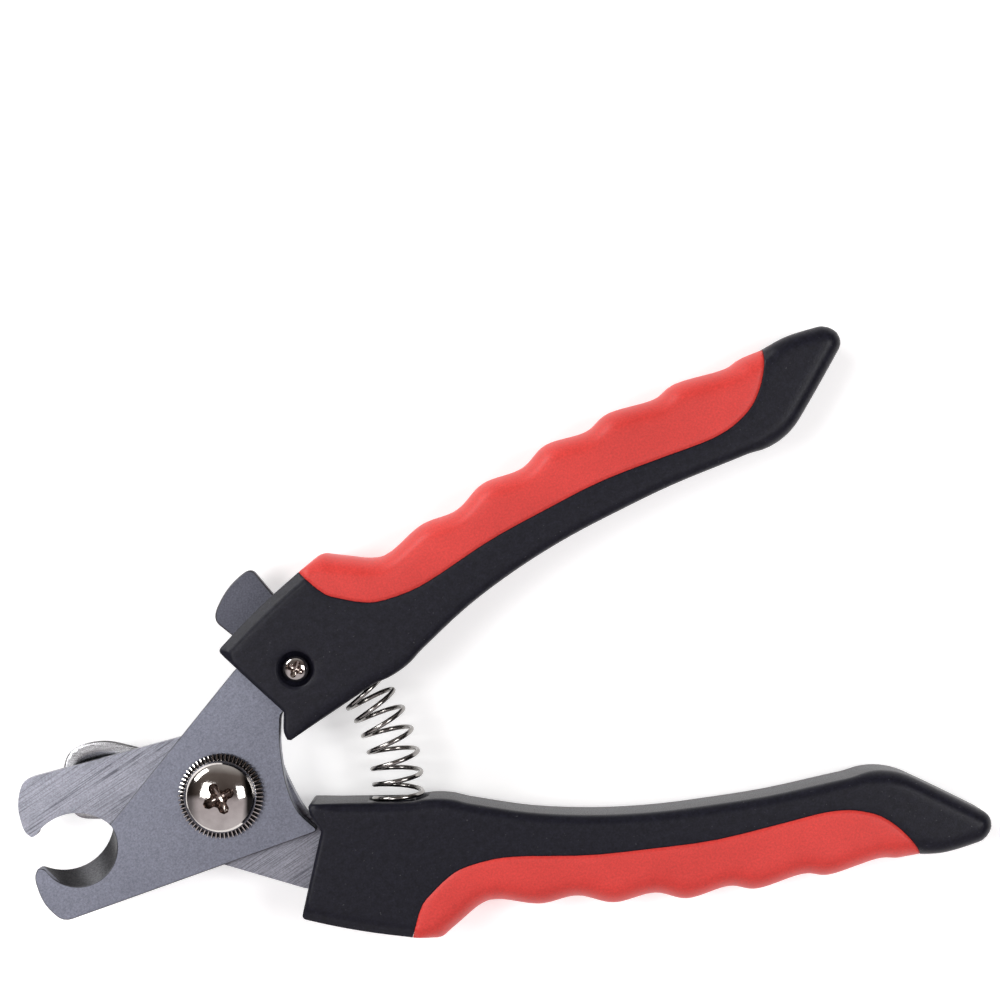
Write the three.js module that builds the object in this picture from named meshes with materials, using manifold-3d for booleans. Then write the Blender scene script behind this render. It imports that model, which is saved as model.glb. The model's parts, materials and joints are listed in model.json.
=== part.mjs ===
// A plier-style pet nail clipper, open, lying on its back. Units are millimetres.
// The z axis is the pivot's axis and z = 0 is the end of the pivot bolt. The x axis lies midway
// between the two handles and points from the pivot towards their ends.
// Both halves are the same blade and handle: the rear half is the front half turned over about x.
// A half is drawn in its own frame: pivot at the origin, x along its handle, y out towards the
// back of the grip, z = 0 on the plane where the blades slide on each other.
import * as THREE from 'three';
import { mergeVertices } from 'three/addons/utils/BufferGeometryUtils.js';
import Module from 'manifold-3d';

const wasm = await Module();
wasm.setup();

// ---- driving dimensions ----------------------------------------------------------------------
const HALF_OPENING = THREE.MathUtils.degToRad(19.4); // each half's turn from the x axis
const SLIDE_GAP = 0.1; // between flat faces that slide or clamp on each other
const FIT_GAP = 0.3; // round a piece that is moulded in or seated
const MATE_HEIGHT = 11; // the blades' sliding plane above the bolt's end
const BLADE_THICKNESS = 3;
const HANDLE_HALF_THICKNESS = 7;
const WEB_HALF_THICKNESS = 4.4; // core under the soft grip

const SHANK_RADIUS = 3; // M6 bolt
const PIVOT_HOLE_RADIUS = 3.08;
const BOLT_HEAD = {
  radius: 5.9, rim: 0.7, height: 3.4,
  recessLength: 5.3, recessWidth: 1.5, recessDepth: 1.9, recessTurn: 10,
};
const WASHER = { radius: 6.9, root: 6.4, teeth: 60, thickness: 1.2 };
const NUT = { acrossFlats: 10, hexHeight: 4.4, collarRadius: 4.7, height: 6, chamfer: 0.6 };
const INSERT = { groove: 4.2, radius: 4.05, thickness: 1, lip: 0.3, lipRadius: 3.6 };
const GUARD = { thickness: 0.8, boss: 0.5, parkAngle: THREE.MathUtils.degToRad(-15) };

const LATCH_PIVOT = new THREE.Vector2(22.3, 9.3);
const LATCH = { thickness: 2.2, bossRadius: 5.2, hookRadius: 10.2, slotHeight: 2.8 };
const SCREW = { shank: 1.4, head: 2.1, headHeight: 1.5, counterbore: 2.95, counterboreDepth: 1.9, depth: 6 };

const SPRING = { orbit: 28.7, coilRadius: 3.95, wireRadius: 0.4, turns: 7.5, bunching: 0.12 };
const SEAT = { tilt: THREE.MathUtils.degToRad(4), pocketRadius: 4.9, pegRadius: 2.8, pegHeight: 3 };

const COLOURS = {
  steel: { color: 0x8f9095, roughness: 0.42, metalness: 1 },
  nickel: { color: 0xc9c6c0, roughness: 0.18, metalness: 1 },
  black: { color: 0x26262a, roughness: 0.6, metalness: 0 },
  red: { color: 0xd8433f, roughness: 0.55, metalness: 0 },
  nylon: { color: 0xe9e6da, roughness: 0.5, metalness: 0 },
};

// ---- solid modelling helpers -----------------------------------------------------------------

/** A manifold solid from a closed three.js geometry. */
function solid(geometry) {
  const bare = new THREE.BufferGeometry();
  bare.setAttribute('position', geometry.getAttribute('position'));
  if (geometry.index) bare.setIndex(geometry.index);
  const merged = mergeVertices(bare, 1e-4);
  const vertProperties = new Float32Array(merged.getAttribute('position').array);
  const triVerts = new Uint32Array(merged.index.array);
  return new wasm.Manifold(new wasm.Mesh({ numProp: 3, vertProperties, triVerts }));
}

/** A three.js geometry from a manifold solid. */
function geometryOf(body) {
  const { vertProperties, triVerts } = body.getMesh();
  const geometry = new THREE.BufferGeometry();
  geometry.setAttribute('position', new THREE.BufferAttribute(vertProperties, 3));
  geometry.setIndex(new THREE.BufferAttribute(triVerts, 1));
  geometry.computeVertexNormals();
  return geometry;
}

function piece(name, body, colour) {
  const material = new THREE.MeshStandardMaterial({ ...COLOURS[colour], flatShading: true });
  const mesh = new THREE.Mesh(geometryOf(body), material);
  mesh.name = name;
  return mesh;
}

/** A prism of the shape between two heights. */
function prism(shape, low, high, curveSegments = 4) {
  const settings = { depth: high - low, bevelEnabled: false, curveSegments };
  return solid(new THREE.ExtrudeGeometry(shape, settings).translate(0, 0, low));
}

/** A round bar along z, centred on (x, y). */
function bar(radius, low, high, x = 0, y = 0, sides = 48) {
  const geometry = new THREE.CylinderGeometry(radius, radius, high - low, sides).rotateX(Math.PI / 2);
  return solid(geometry.translate(x, y, (low + high) / 2));
}

/** A body of revolution about z from [radius, height] points that start and end on the axis. */
function turned(profile, segments = 48) {
  const points = profile.map(([radius, height]) => new THREE.Vector2(radius, height));
  return solid(new THREE.LatheGeometry(points, segments).rotateX(Math.PI / 2));
}

/** A closed shape through [x, y, rounding] corners; rounding is how far the curve reaches back,
 *  kept to less than half of each side. */
function roundedShape(corners) {
  const shape = new THREE.Shape();
  corners.forEach(([x, y, rounding = 0], i) => {
    const corner = new THREE.Vector2(x, y);
    const towards = ([nx, ny]) => {
      const side = new THREE.Vector2(nx, ny).sub(corner);
      return side.setLength(Math.min(rounding, 0.48 * side.length())).add(corner);
    };
    const enter = towards(corners.at(i - 1));
    const leave = towards(corners[(i + 1) % corners.length]);
    if (i === 0) shape.moveTo(enter.x, enter.y);
    else shape.lineTo(enter.x, enter.y);
    if (rounding > 0) shape.quadraticCurveTo(x, y, leave.x, leave.y);
  });
  shape.closePath();
  return shape;
}

/** The same corners moved outwards by a distance, for a counterclockwise outline. */
function outset(corners, distance) {
  return corners.map(([x, y, rounding = 0], i) => {
    const corner = new THREE.Vector2(x, y);
    const before = corner.clone().sub(new THREE.Vector2(...corners.at(i - 1))).normalize();
    const after = new THREE.Vector2(...corners[(i + 1) % corners.length]).sub(corner).normalize();
    const normals = new THREE.Vector2(before.y + after.y, -before.x - after.x);
    const reach = distance / (1 + before.dot(after));
    return [x + normals.x * reach, y + normals.y * reach, rounding];
  });
}

function vectors(points) {
  return points.map(([x, y]) => new THREE.Vector2(x, y));
}

/** Two crossed slots of a cross recess, sunk from a top height. */
function crossRecess(length, width, depth, top, x = 0, y = 0) {
  const slot = (sx, sy) => solid(new THREE.BoxGeometry(sx, sy, 2 * depth).translate(x, y, top));
  return slot(length, width).add(slot(width, length));
}

// ---- blades ----------------------------------------------------------------------------------

// The tang is the blade's bar inside the handle; it stays clear of the spring's pocket.
const TANG = [[52, 5.2], [88, 1.4, 2], [91, 5, 2], [60, 9.4], [38, 12.4], [32, 15.4]];

const BLADE_OUTLINE = [
  [-31, 8.5, 0.7], [-32.5, 7.5, 1.2], [-33.9, 3.2, 2.4], [-33, -1.1, 1.6], [9.3, -14.1, 1.1],
  [8.1, -9.6, 2.4], [9.6, -4.4, 2.4], [12.5, 0.9, 2], [15.6, 4.9, 0.8],
  ...TANG, [14, 15.1, 0.5], [-17, 7.2],
];

/** The notch's ground wall: an oblique cone from the cutting edge to the bevel's outer edge. */
function notchCutter() {
  const edge = { x: -23.5, y: 12.4, radius: 8.3 };
  const outer = { x: -23.8, y: 7.2, radius: 6.4 };
  const height = BLADE_THICKNESS;
  const overshoot = 0.2;
  const at = (share) => ({
    x: THREE.MathUtils.lerp(edge.x, outer.x, share),
    y: THREE.MathUtils.lerp(edge.y, outer.y, share),
    radius: THREE.MathUtils.lerp(edge.radius, outer.radius, share),
  });
  const low = at(-overshoot);
  const high = at(1 + overshoot);
  const rise = height * (1 + 2 * overshoot);
  const cone = new THREE.CylinderGeometry(high.radius, low.radius, rise, 64).rotateX(Math.PI / 2);
  cone.translate(0, 0, rise / 2 - height * overshoot);
  const lean = new THREE.Matrix4().set(
    1, 0, (outer.x - edge.x) / height, edge.x,
    0, 1, (outer.y - edge.y) / height, edge.y,
    0, 0, 1, 0,
    0, 0, 0, 1,
  );
  return solid(cone.applyMatrix4(lean));
}

function blade(withScrewHole) {
  let body = prism(roundedShape(BLADE_OUTLINE), SLIDE_GAP / 2, BLADE_THICKNESS);
  body = body.subtract(notchCutter());
  body = body.subtract(bar(PIVOT_HOLE_RADIUS, -1, BLADE_THICKNESS + 1));
  if (withScrewHole) {
    const { x, y } = LATCH_PIVOT;
    body = body.subtract(bar(SCREW.shank + FIT_GAP, -1, BLADE_THICKNESS + 1, x, y, 32));
  }
  return body;
}

// ---- handles ---------------------------------------------------------------------------------

const FINGER_GROOVES = [
  [39.5, 19.3], [43, 16.2], [46, 15.4], [52.5, 15.9], [58.5, 14.4], [64.5, 15.3], [71, 13.5],
  [76.5, 14.2], [83, 12], [87.8, 12.2], [95, 9.6], [99.5, 9.5], [107, 6.7], [110.5, 6.4], [114, 5.5],
];
const INNER_SWEEP = [
  [90, -3.7], [80, -1.7], [70, -0.1], [60, 0.7], [50, 0.6], [40, -0.6],
];
const GRIP_EDGE = [
  [33.2, 16.5], [35, 14], [37.5, 11.4], [40, 9.8], [45, 8.2], [50, 7.6], [60, 7.1], [70, 5.7],
  [80, 4], [90, 1.2], [97, -0.9], [101, -1.6], [104, -1.5], [107, -0.8], [110, 1], [112.5, 3.4],
];
const GRIP_START = [32, 21.6];
const GRIP_END = [114, 5.5];
const WEB_OUTLINE = [
  [30, 2], [30, 18.6, 1], [36, 18.6, 3], [40, 14, 3], [45, 12.6], [60, 11.8], [75, 10.8], [90, 8.2],
  [104, 4.6, 2], [109, 2.6, 2], [104, -3.6], [90, 0], [60, 4],
];

/** The whole handle seen from the front: core and grip together. */
function handleShape() {
  const shape = new THREE.Shape();
  shape.moveTo(14.3, 0.9);
  shape.lineTo(14.6, 2.3);
  shape.lineTo(16.5, 4.9);
  shape.lineTo(14, 18.6);
  shape.quadraticCurveTo(14, 19.3, 14.8, 19.4);
  shape.quadraticCurveTo(23, 21.1, ...GRIP_START);
  shape.lineTo(36, 21.9);
  shape.quadraticCurveTo(37, 21.9, 37.7, 21);
  shape.splineThru(vectors(FINGER_GROOVES));
  shape.lineTo(118, 5);
  shape.lineTo(123.2, 3.2);
  shape.quadraticCurveTo(125, 2.4, 125.3, 0.4);
  shape.quadraticCurveTo(125.3, -1.3, 124, -2);
  shape.lineTo(112, -7.3);
  shape.quadraticCurveTo(107, -9.3, 102.1, -6.95);
  shape.splineThru(vectors(INNER_SWEEP));
  shape.quadraticCurveTo(36, -1.8, 31, -0.4);
  shape.lineTo(14.8, 0.4);
  shape.closePath();
  return shape;
}

/** The region of the soft grip, reaching past the handle's outer edge; `shift` moves its inner edge. */
function gripShape(shift) {
  const edge = new THREE.SplineCurve(vectors([GRIP_START, ...GRIP_EDGE, GRIP_END]));
  const count = 45;
  const inner = edge.getPoints(count).map((point, i) => {
    const along = edge.getTangent(i / count);
    return new THREE.Vector2(point.x - along.y * shift, point.y + along.x * shift);
  });
  const beyond = vectors([[118, 12], [60, 30], [GRIP_START[0] + shift, 30]]);
  return new THREE.Shape([...inner, ...beyond]);
}

/** The spring's pocket and peg stand on the plane through the pivot at the seat's tilt. */
function seatBar(radius, low, high) {
  const geometry = new THREE.CylinderGeometry(radius, radius, high - low, 40);
  geometry.translate(0, -(low + high) / 2, 0).rotateZ(SEAT.tilt);
  const x = SPRING.orbit * Math.cos(SEAT.tilt);
  const y = SPRING.orbit * Math.sin(SEAT.tilt);
  return solid(geometry.translate(x, y, 0));
}

function tangSlot() {
  const corners = outset([[-5, 4.9], ...TANG, [-5, 15.4]], FIT_GAP);
  return prism(roundedShape(corners), -FIT_GAP, BLADE_THICKNESS + FIT_GAP);
}

/** Room for the latch's boss and its swing, open at the handle's front and outer edge. */
function latchSlot() {
  const { x, y } = LATCH_PIVOT;
  const reach = LATCH.bossRadius + 0.4;
  const corners = [[5, y - reach], [x + reach, y - reach, 3.5], [x + reach - 0.6, 30], [5, 30]];
  return prism(roundedShape(corners), -LATCH.slotHeight - SLIDE_GAP, -SLIDE_GAP);
}

function screwHoles() {
  const { x, y } = LATCH_PIVOT;
  const top = HANDLE_HALF_THICKNESS;
  const through = bar(SCREW.shank + FIT_GAP, 0, top + 1, x, y, 32);
  const counterbore = bar(SCREW.counterbore, top - SCREW.counterboreDepth, top + 1, x, y, 40);
  const thread = bar(SCREW.shank + 0.1, -SCREW.depth - FIT_GAP, 0, x, y, 32);
  return through.add(counterbore).add(thread);
}

function handleCore(withLatch) {
  const half = HANDLE_HALF_THICKNESS;
  const web = prism(roundedShape(WEB_OUTLINE), -WEB_HALF_THICKNESS, WEB_HALF_THICKNESS);
  const gripRoom = prism(gripShape(0), -half - 1, half + 1).subtract(web);
  let core = prism(handleShape(), -half, half).subtract(gripRoom);
  core = core.subtract(seatBar(SEAT.pocketRadius, 0, 8));
  core = core.add(seatBar(SEAT.pegRadius, -0.5, SEAT.pegHeight));
  core = core.subtract(tangSlot());
  if (withLatch) core = core.subtract(latchSlot()).subtract(screwHoles());
  return core;
}

function handleGrip() {
  const half = HANDLE_HALF_THICKNESS;
  const room = WEB_HALF_THICKNESS + FIT_GAP;
  const web = prism(roundedShape(outset([...WEB_OUTLINE].reverse(), FIT_GAP)), -room, room);
  return prism(handleShape(), -half, half).intersect(prism(gripShape(FIT_GAP), -half - 1, half + 1)).subtract(web);
}

// ---- pivot -----------------------------------------------------------------------------------

const WASHER_LOW = MATE_HEIGHT + BLADE_THICKNESS + SLIDE_GAP;
const HEAD_LOW = WASHER_LOW + WASHER.thickness + SLIDE_GAP;
const GUARD_HIGH = MATE_HEIGHT - BLADE_THICKNESS - SLIDE_GAP;
const NUT_HIGH = GUARD_HIGH - GUARD.thickness - SLIDE_GAP;
const NUT_LOW = NUT_HIGH - NUT.height;

function pivotBolt() {
  const { radius, rim, height, recessLength, recessWidth, recessDepth, recessTurn } = BOLT_HEAD;
  const dome = [];
  const steps = 6;
  for (let i = 0; i < steps; i++) {
    const angle = (i / steps) * (Math.PI / 2);
    dome.push([radius * Math.cos(angle), HEAD_LOW + rim + (height - rim) * Math.sin(angle)]);
  }
  const end = 0.4;
  const top = HEAD_LOW + height;
  const profile = [
    [0, 0], [SHANK_RADIUS - end, 0], [SHANK_RADIUS, end], [SHANK_RADIUS, HEAD_LOW], [radius, HEAD_LOW],
    ...dome, [0, top],
  ];
  const recess = crossRecess(recessLength, recessWidth, recessDepth, top);
  return turned(profile).subtract(recess.rotate([0, 0, recessTurn]));
}

function knurledWasher() {
  const shape = new THREE.Shape();
  const steps = 2 * WASHER.teeth;
  for (let i = 0; i < steps; i++) {
    const radius = i % 2 ? WASHER.root : WASHER.radius;
    const angle = (i / steps) * 2 * Math.PI;
    shape[i ? 'lineTo' : 'moveTo'](radius * Math.cos(angle), radius * Math.sin(angle));
  }
  shape.closePath();
  const ring = prism(shape, WASHER_LOW, WASHER_LOW + WASHER.thickness);
  return ring.subtract(bar(PIVOT_HOLE_RADIUS, 0, 2 * MATE_HEIGHT));
}

function lockNut() {
  const cornerRadius = NUT.acrossFlats / Math.sqrt(3);
  const hexLow = NUT_HIGH - NUT.hexHeight;
  const hexagon = solid(
    new THREE.CylinderGeometry(cornerRadius, cornerRadius, NUT.hexHeight, 6)
      .rotateX(Math.PI / 2)
      .translate(0, 0, (hexLow + NUT_HIGH) / 2),
  );
  const flat = cornerRadius - NUT.chamfer;
  const drop = NUT.chamfer * Math.tan(Math.PI / 6);
  const chamfers = turned([
    [0, hexLow], [flat, hexLow], [cornerRadius, hexLow + drop],
    [cornerRadius, NUT_HIGH - drop], [flat, NUT_HIGH], [0, NUT_HIGH],
  ]);
  const edge = 0.5;
  const collar = turned([
    [0, NUT_LOW], [NUT.collarRadius - edge, NUT_LOW], [NUT.collarRadius, NUT_LOW + edge],
    [NUT.collarRadius, hexLow + 1], [0, hexLow + 1],
  ]);
  const grooveLow = NUT_LOW + INSERT.lip;
  const groove = bar(INSERT.groove, grooveLow, grooveLow + INSERT.thickness + 2 * SLIDE_GAP);
  return hexagon
    .intersect(chamfers)
    .add(collar)
    .subtract(bar(PIVOT_HOLE_RADIUS, 0, MATE_HEIGHT))
    .subtract(bar(INSERT.lipRadius, 0, grooveLow + SLIDE_GAP))
    .subtract(groove);
}

function nutInsert() {
  const low = NUT_LOW + INSERT.lip + SLIDE_GAP;
  const ring = bar(INSERT.radius, low, low + INSERT.thickness);
  return ring.subtract(bar(PIVOT_HOLE_RADIUS, 0, MATE_HEIGHT));
}

function nailGuard() {
  const outline = [
    [7.3, 0, 3], [5.4, 5.4, 3], [0, 7.3, 3], [-3.6, 6.4, 2], [-6.5, 5.7, 1.5], [-20, 9.6, 3],
    [-26, 8, 3.4], [-27, 2.5, 3], [-25.4, -3.5, 3.4], [-20, -3.8, 3], [-7.8, -3.6, 1.5],
    [-5.2, -5.2, 2], [0, -7.3, 3], [5.4, -5.4, 3],
  ];
  const boss = [
    [-10, 5, 2], [-20, 7.9, 3], [-24.6, 6.6, 3], [-25.4, 2.5, 2], [-24.2, -2, 3], [-20, -2.2, 3], [-10, -2, 2],
  ];
  const low = GUARD_HIGH - GUARD.thickness;
  const plate = prism(roundedShape([...outline].reverse()), low, GUARD_HIGH);
  const raised = prism(roundedShape([...boss].reverse()), low - GUARD.boss, low + 0.1);
  return plate.add(raised).subtract(bar(PIVOT_HOLE_RADIUS, 0, MATE_HEIGHT));
}

// ---- latch -----------------------------------------------------------------------------------

/** The thumb latch, unlocked. Its hook edge is an arc about its own pivot that just misses the
 *  rear blade's horn as it swings; 40 degrees on, the arc stands in the horn's way. */
function latchLever() {
  const { x, y } = LATCH_PIVOT;
  const degrees = THREE.MathUtils.degToRad;
  const shape = new THREE.Shape();
  shape.moveTo(16.4, 19.9);
  shape.absarc(x, y, LATCH.hookRadius, degrees(121), degrees(146), false);
  shape.lineTo(14.8, 11.3);
  shape.absarc(x, y, LATCH.bossRadius, degrees(195), degrees(350), false);
  shape.lineTo(26.1, 20.5);
  shape.lineTo(25.8, 25.6);
  shape.quadraticCurveTo(25.8, 27, 24.3, 27);
  shape.quadraticCurveTo(20.4, 27, 17, 24.8);
  shape.quadraticCurveTo(15.7, 23.9, 15.9, 22.6);
  shape.closePath();
  const middle = -(LATCH.slotHeight + 2 * SLIDE_GAP) / 2;
  const plate = prism(shape, middle - LATCH.thickness / 2, middle + LATCH.thickness / 2, 12);
  return plate.subtract(bar(SCREW.shank + 0.08, -10, 10, x, y, 32));
}

function latchScrew() {
  const { shank, head, headHeight, counterboreDepth, depth } = SCREW;
  const seat = HANDLE_HALF_THICKNESS - counterboreDepth + SLIDE_GAP;
  const edge = 0.35;
  const profile = [
    [0, -depth], [shank - edge, -depth + edge], [shank, -depth + 3 * edge], [shank, seat], [head, seat],
    [head, seat + headHeight - 2 * edge], [head - edge, seat + headHeight - edge / 2], [0, seat + headHeight],
  ];
  const body = turned(profile, 32).subtract(crossRecess(2.4, 0.6, 0.9, seat + headHeight));
  return body.translate([LATCH_PIVOT.x, LATCH_PIVOT.y, 0]);
}

// ---- spring ----------------------------------------------------------------------------------

/** A coil whose centre line is an arc about the pivot, from one handle's seat to the other's. */
class FannedHelix extends THREE.Curve {
  getPoint(t, target = new THREE.Vector3()) {
    const wireClearance = (SPRING.wireRadius + FIT_GAP) / SPRING.orbit;
    const reach = HALF_OPENING + SEAT.tilt - wireClearance;
    const share = t - (SPRING.bunching * Math.sin(2 * Math.PI * t)) / (2 * Math.PI);
    const station = reach * (2 * share - 1);
    const phase = 2 * Math.PI * SPRING.turns * t;
    const radius = SPRING.orbit + SPRING.coilRadius * Math.cos(phase);
    const height = MATE_HEIGHT - SPRING.coilRadius * Math.sin(phase);
    return target.set(radius * Math.cos(station), radius * Math.sin(station), height);
  }
}

function handleSpring() {
  const section = new THREE.Shape();
  section.absarc(0, 0, SPRING.wireRadius, 0, 2 * Math.PI, false);
  const steps = Math.round(SPRING.turns * 16);
  const settings = { steps, bevelEnabled: false, curveSegments: 4, extrudePath: new FannedHelix() };
  return solid(new THREE.ExtrudeGeometry(section, settings));
}

// ---- assembly --------------------------------------------------------------------------------

const frontHalf = new THREE.Group();
frontHalf.add(piece('front_blade', blade(true), 'steel'));
frontHalf.add(piece('upper_handle_core', handleCore(true), 'black'));
frontHalf.add(piece('upper_handle_grip', handleGrip(), 'red'));
frontHalf.add(piece('latch_lever', latchLever(), 'steel'));
frontHalf.add(piece('latch_screw', latchScrew(), 'nickel'));
frontHalf.rotation.z = HALF_OPENING;
frontHalf.position.z = MATE_HEIGHT;

const rearHalf = new THREE.Group();
rearHalf.add(piece('rear_blade', blade(false), 'steel'));
rearHalf.add(piece('lower_handle_core', handleCore(false), 'black'));
rearHalf.add(piece('lower_handle_grip', handleGrip(), 'red'));
rearHalf.rotation.set(Math.PI, 0, HALF_OPENING);
rearHalf.position.z = MATE_HEIGHT;

const guard = piece('nail_guard', nailGuard(), 'steel');
guard.rotation.z = GUARD.parkAngle;

const clipper = new THREE.Group();
clipper.add(frontHalf, rearHalf, guard);
clipper.add(piece('pivot_bolt', pivotBolt(), 'nickel'));
clipper.add(piece('knurled_washer', knurledWasher(), 'nickel'));
clipper.add(piece('lock_nut', lockNut(), 'nickel'));
clipper.add(piece('nut_insert', nutInsert(), 'nylon'));
clipper.add(piece('handle_spring', handleSpring(), 'nickel'));

export default clipper;
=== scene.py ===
"""Looks of the plier-style nail clipper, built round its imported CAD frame.

Pieces are made in millimetres and stored in metres. A handle and blade are made in their own half
frame: pivot at the origin, x along the handle, y out to the back of the grip, z = 0 between the
blades. half_matrix() puts a half in its place; the rear half is the front half turned over.
"""

import json
import math

import bmesh
import bpy
import numpy as np
from mathutils import Matrix, Vector
from mathutils.geometry import delaunay_2d_cdt

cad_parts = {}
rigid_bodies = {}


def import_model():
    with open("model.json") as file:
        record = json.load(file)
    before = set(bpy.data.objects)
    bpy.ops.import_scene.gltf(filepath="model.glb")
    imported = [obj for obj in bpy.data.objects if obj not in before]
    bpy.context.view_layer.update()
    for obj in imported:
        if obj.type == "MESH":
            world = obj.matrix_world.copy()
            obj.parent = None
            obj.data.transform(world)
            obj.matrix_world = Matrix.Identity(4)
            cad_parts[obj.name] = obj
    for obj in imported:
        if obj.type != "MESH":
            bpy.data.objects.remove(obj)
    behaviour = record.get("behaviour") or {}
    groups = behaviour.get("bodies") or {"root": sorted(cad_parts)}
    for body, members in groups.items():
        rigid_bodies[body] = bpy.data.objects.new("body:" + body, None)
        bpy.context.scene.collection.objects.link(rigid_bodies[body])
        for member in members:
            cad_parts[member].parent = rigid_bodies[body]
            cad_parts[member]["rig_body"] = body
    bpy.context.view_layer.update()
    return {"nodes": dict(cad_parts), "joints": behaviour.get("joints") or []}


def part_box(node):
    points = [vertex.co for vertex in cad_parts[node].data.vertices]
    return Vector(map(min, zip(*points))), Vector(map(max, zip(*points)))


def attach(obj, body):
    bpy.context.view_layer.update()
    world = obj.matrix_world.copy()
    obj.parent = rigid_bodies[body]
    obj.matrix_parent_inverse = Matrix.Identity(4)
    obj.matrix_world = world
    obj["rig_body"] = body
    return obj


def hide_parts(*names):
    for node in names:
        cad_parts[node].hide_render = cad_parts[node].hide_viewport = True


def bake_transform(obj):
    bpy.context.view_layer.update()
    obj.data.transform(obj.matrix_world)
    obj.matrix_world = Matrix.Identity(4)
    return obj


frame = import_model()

MM = 0.001  # one millimetre, in metres
HALF_OPENING = math.radians(19.4)
JOINTS = {joint["name"]: joint for joint in frame["joints"]}
MATE = JOINTS["jaw_pivot"]["pos_m"][2] / MM  # height of the plane between the blades
HANDLE_HALF = 7.0  # half of a handle's thickness
BLADE_THICKNESS = 3.0
CHAMFER_SLOPE = 0.67  # how steeply the chamfer on a handle's outer shoulder falls
LATCH_PIVOT = (22.3, 9.3)
SCREW_RECESS = 2.95  # radius of the pocket round the latch screw's head
NOTCH_CENTRE = (-23.5, 12.4)
WELD = 0.0005  # corners closer than this are one corner
EDGE_RINGS = (  # how far in from a handle's edge the rows of points beside it lie
    0.03, 0.12, 0.28, 0.5, 0.8, 1.2, 1.7, 2.3, 3.1)


# ---- making meshes ---------------------------------------------------------------------------

def half_matrix(half):
    """Places a half frame in the row frame, in millimetres."""
    turn = Matrix.Identity(4) if half == "upper" else Matrix.Rotation(math.pi, 4, "X")
    return Matrix.Translation((0, 0, MATE)) @ turn @ Matrix.Rotation(HALF_OPENING, 4, "Z")


def cad_bmesh(node, matrix=None):
    """The CAD node's solid in millimetres with its shared corners joined, moved by a matrix."""
    bm = bmesh.new()
    bm.from_mesh(frame["nodes"][node].data)
    bmesh.ops.scale(bm, vec=(1 / MM,) * 3, verts=bm.verts)
    bmesh.ops.remove_doubles(bm, verts=bm.verts, dist=WELD)
    if matrix is not None:
        bmesh.ops.transform(bm, matrix=matrix, verts=bm.verts)
    bm.normal_update()
    return bm


def new_object(name, bm, matrix=None):
    """A linked object from a bmesh, after moving it by a matrix; the bmesh is used up."""
    if matrix is not None:
        bmesh.ops.transform(bm, matrix=matrix, verts=bm.verts)
    mesh = bpy.data.meshes.new(name)
    bm.to_mesh(mesh)
    bm.free()
    made = bpy.data.objects.new(name, mesh)
    bpy.context.scene.collection.objects.link(made)
    return made


def boolean(target, tool, operation):
    """Cuts or joins two objects and removes the tool; the target keeps the result."""
    modifier = target.modifiers.new("boolean", "BOOLEAN")
    modifier.operation = operation
    modifier.solver = "EXACT"
    modifier.object = tool
    depsgraph = bpy.context.evaluated_depsgraph_get()
    result = bpy.data.meshes.new_from_object(target.evaluated_get(depsgraph))
    target.modifiers.clear()
    target.data = result
    bpy.data.objects.remove(tool)
    return target


def finished(piece, node, materials, sharp_angle, flat_faces=False):
    """Shades a piece in millimetres, stores it in metres, and lets it stand for its CAD node.

    Level faces of a sheet metal piece are shaded flat, so that they mirror as one plane.
    """
    mesh = piece.data
    mesh.transform(Matrix.Scale(MM, 4))
    mesh.polygons.foreach_set("use_smooth", [True] * len(mesh.polygons))
    mesh.set_sharp_from_angle(angle=math.radians(sharp_angle))
    if flat_faces:
        for polygon in mesh.polygons:
            polygon.use_smooth = abs(polygon.normal.z) < 0.9995
    indices = [polygon.material_index for polygon in mesh.polygons]
    mesh.materials.clear()
    for material in materials:
        mesh.materials.append(material)
    mesh.polygons.foreach_set("material_index", [min(i, len(materials) - 1) for i in indices])
    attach(piece, frame["nodes"][node]["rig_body"])
    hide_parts(node)
    return piece


def resampled(loop, step, corner_degrees=30):
    """A closed 2D loop through the same corners with smooth, evenly stepped stretches between."""
    points = np.array(loop, float)
    count = len(points)
    before = points - np.roll(points, 1, 0)
    after = np.roll(points, -1, 0) - points
    turn = np.abs(np.arctan2(
        before[:, 0] * after[:, 1] - before[:, 1] * after[:, 0], (before * after).sum(1)))
    corner = turn > math.radians(corner_degrees)
    made = []
    for i in range(count):
        p0, p1, p2, p3 = (points[(i + k) % count] for k in (-1, 0, 1, 2))
        length = np.linalg.norm(p2 - p1)
        leave = (p2 - p1) if corner[i] else (p2 - p0) * length / max(np.linalg.norm(p2 - p0), 1e-9)
        arrive = (p2 - p1) if corner[(i + 1) % count] else (
            (p3 - p1) * length / max(np.linalg.norm(p3 - p1), 1e-9))
        for k in range(max(1, round(length / step))):
            t = k / max(1, round(length / step))
            made.append((2 * t**3 - 3 * t**2 + 1) * p1 + (t**3 - 2 * t**2 + t) * leave
                        + (3 * t**2 - 2 * t**3) * p2 + (t**3 - t**2) * arrive)
    return np.array(made)


def signed_area(loop):
    x, y = loop[:, 0], loop[:, 1]
    return 0.5 * float(np.sum(x * np.roll(y, -1) - np.roll(x, -1) * y))


def face_loops(bm, height, upward=True):
    """Ordered 2D loops round the flat faces at a height, the outline first."""
    sign = 1 if upward else -1
    flat = [f for f in bm.faces
            if f.normal.z * sign > 0.999 and abs(f.calc_center_median().z - height) < 0.02]
    members = set(flat)  # asked, never walked: its order isn't the same in every run
    follows = {}
    for face in flat:
        for corner in face.loops:
            if corner.link_loop_radial_next.face not in members:
                follows[corner.vert] = corner.link_loop_next.vert
    loops = []
    while follows:
        loop = []
        vert = next(iter(follows))
        while vert in follows:
            loop.append((vert.co.x, vert.co.y))
            vert = follows.pop(vert)
        loops.append(np.array(loop) if upward else np.array(loop)[::-1])
    return sorted(loops, key=lambda loop: -abs(signed_area(loop)))


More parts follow.
